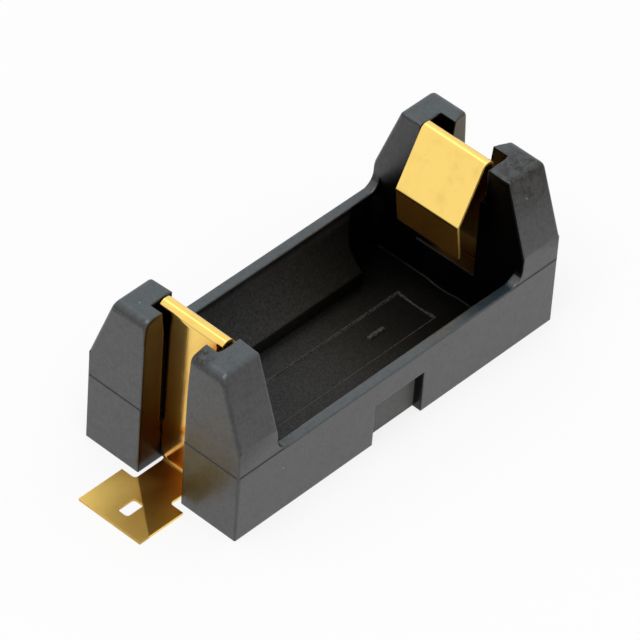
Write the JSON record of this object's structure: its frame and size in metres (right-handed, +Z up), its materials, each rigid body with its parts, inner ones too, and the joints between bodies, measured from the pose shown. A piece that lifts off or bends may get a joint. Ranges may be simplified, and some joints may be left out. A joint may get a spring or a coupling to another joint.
{
  "type": "cylindrical cell holder",
  "caption": "Board-mount holder for a short cylindrical cell: open moulded trough with split end posts and a folded gold-plated spring contact with a flat solder tab at each end.",
  "frame": {"origin": "on the board plane, under the middle of the trough", "axes": "+X along the trough from one contact to the other, +Y across it, +Z up and away from the board"},
  "size_m": [0.0516, 0.0176, 0.0174],
  "materials": {
    "moulding": "black glass-filled moulding, fine grain, satin on the outer faces",
    "contact": "gold-plated spring sheet, fine rolling streaks, bright cut edges"
  },
  "bodies": {
    "root": {"housing": "moulding", "contact_left": "contact", "contact_right": "contact"}
  },
  "joints": []
}
